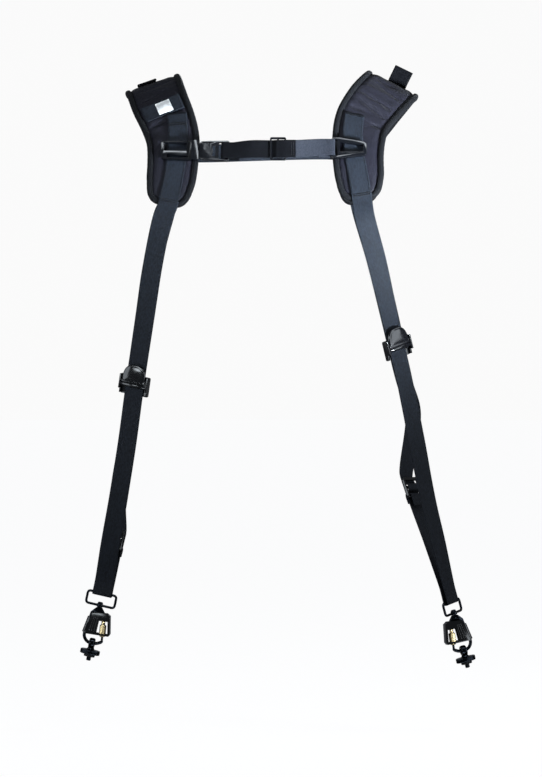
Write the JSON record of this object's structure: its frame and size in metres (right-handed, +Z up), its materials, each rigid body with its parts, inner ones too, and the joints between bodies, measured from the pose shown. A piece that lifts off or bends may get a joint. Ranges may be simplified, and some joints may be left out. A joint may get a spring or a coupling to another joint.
{
  "type": "dual camera harness",
  "caption": "Padded shoulder harness with a buckled chest strap and a webbing sling on each side that ends in a swivel hook and a tripod-socket fastener.",
  "frame": {"origin": "between the two pads, in the middle plane, at the height where the shoulders carry them", "axes": "+Z up, +X to the right of a viewer who faces the front, the wearer faces -Y. Left and right in the names are those of that viewer."},
  "size_m": [0.5015, 0.245, 0.771],
  "materials": {
    "pad_fabric": "woven nylon over foam",
    "pad_binding": "padded bound edge",
    "webbing": "tightly woven nylon webbing",
    "elastic_webbing": "woven elastic",
    "label_cloth": "plain woven label",
    "black_plastic": "moulded acetal, semi-gloss",
    "black_metal": "black electroplated steel, glossy",
    "brass": "polished",
    "rubber": "matt"
  },
  "bodies": {
    "root": {"left_shoulder_pad": "pad_fabric", "left_pad_binding": "pad_binding", "left_sling_webbing": "webbing", "left_rear_webbing": "webbing", "left_ladder_lock": "black_plastic", "left_shoulder_tab": "webbing", "left_cam_body": "black_plastic", "left_swivel_ring": "black_metal", "right_shoulder_pad": "pad_fabric", "right_pad_binding": "pad_binding", "right_sling_webbing": "webbing", "right_rear_webbing": "webbing", "right_ladder_lock": "black_plastic", "right_shoulder_tab": "webbing", "right_cam_body": "black_plastic", "right_swivel_ring": "black_metal", "left_label_band": "webbing", "blank_label": "label_cloth", "buckle_female": "black_plastic", "buckle_male": "black_plastic", "chest_slider": "black_plastic", "triglide": "black_plastic", "chest_webbing": "webbing", "elastic_webbing": "elastic_webbing", "rear_cross_strap": "webbing"},
    "left_hook": {"left_carabiner": "black_metal", "left_lock_cover": "black_plastic"},
    "left_gate_arm": {"left_gate": "black_metal"},
    "left_sleeve": {"left_lock_sleeve": "brass"},
    "left_screw": {"left_fastener": "black_metal", "left_washer": "rubber"},
    "left_lever": {"left_cam_lever": "black_plastic"},
    "right_hook": {"right_carabiner": "black_metal", "right_lock_cover": "black_plastic"},
    "right_gate_arm": {"right_gate": "black_metal"},
    "right_sleeve": {"right_lock_sleeve": "brass"},
    "right_screw": {"right_fastener": "black_metal", "right_washer": "rubber"},
    "right_lever": {"right_cam_lever": "black_plastic"}
  },
  "joints": [
    {"name": "left_swivel", "type": "hinge", "parent": "root", "child": "left_hook", "pos_m": [-0.21097, -0.05, -0.64329], "axis": [0.2079, 0, 0.9781], "continuous": true},
    {"name": "left_gate_hinge", "type": "hinge", "parent": "left_hook", "child": "left_gate_arm", "pos_m": [-0.20553, -0.05055, -0.6557], "axis": [0.0682, 0.9976, -0.0145], "range_deg": [0, 25], "stiffness_Nm_per_rad": 0.05},
    {"name": "left_sleeve_travel", "type": "slide", "parent": "left_gate_arm", "child": "left_sleeve", "axis": [-0.0874, -0.0085, -0.9961], "range_m": [0, 0.0035]},
    {"name": "left_fastener_swing", "type": "hinge", "parent": "left_hook", "child": "left_screw", "pos_m": [-0.22087, -0.05, -0.68985], "axis": [0.9758, -0.0698, -0.2074], "range_deg": [-60, 60]},
    {"name": "left_lever_hinge", "type": "hinge", "parent": "root", "child": "left_lever", "pos_m": [-0.16598, -0.1016, -0.36292], "axis": [0.9292, -0.3199, -0.1851], "range_deg": [0, 90]},
    {"name": "right_swivel", "type": "hinge", "parent": "root", "child": "right_hook", "pos_m": [0.23838, -0.05, -0.6532], "axis": [-0.2504, 0, 0.9681], "continuous": true},
    {"name": "right_gate_hinge", "type": "hinge", "parent": "right_hook", "child": "right_gate_arm", "pos_m": [0.23363, -0.05165, -0.66579], "axis": [0.2013, -0.9781, 0.0521], "range_deg": [0, 25], "stiffness_Nm_per_rad": 0.05},
    {"name": "right_sleeve_travel", "type": "slide", "parent": "right_gate_arm", "child": "right_sleeve", "axis": [0.1331, -0.0253, -0.9908], "range_m": [0, 0.0035]},
    {"name": "right_fastener_swing", "type": "hinge", "parent": "right_hook", "child": "right_screw", "pos_m": [0.2503, -0.05, -0.69928], "axis": [-0.947, -0.2079, -0.2449], "range_deg": [-60, 60]},
    {"name": "right_lever_hinge", "type": "hinge", "parent": "root", "child": "right_lever", "pos_m": [0.16672, -0.10767, -0.31562], "axis": [0.7911, 0.5491, 0.2695], "range_deg": [0, 90]}
  ]
}
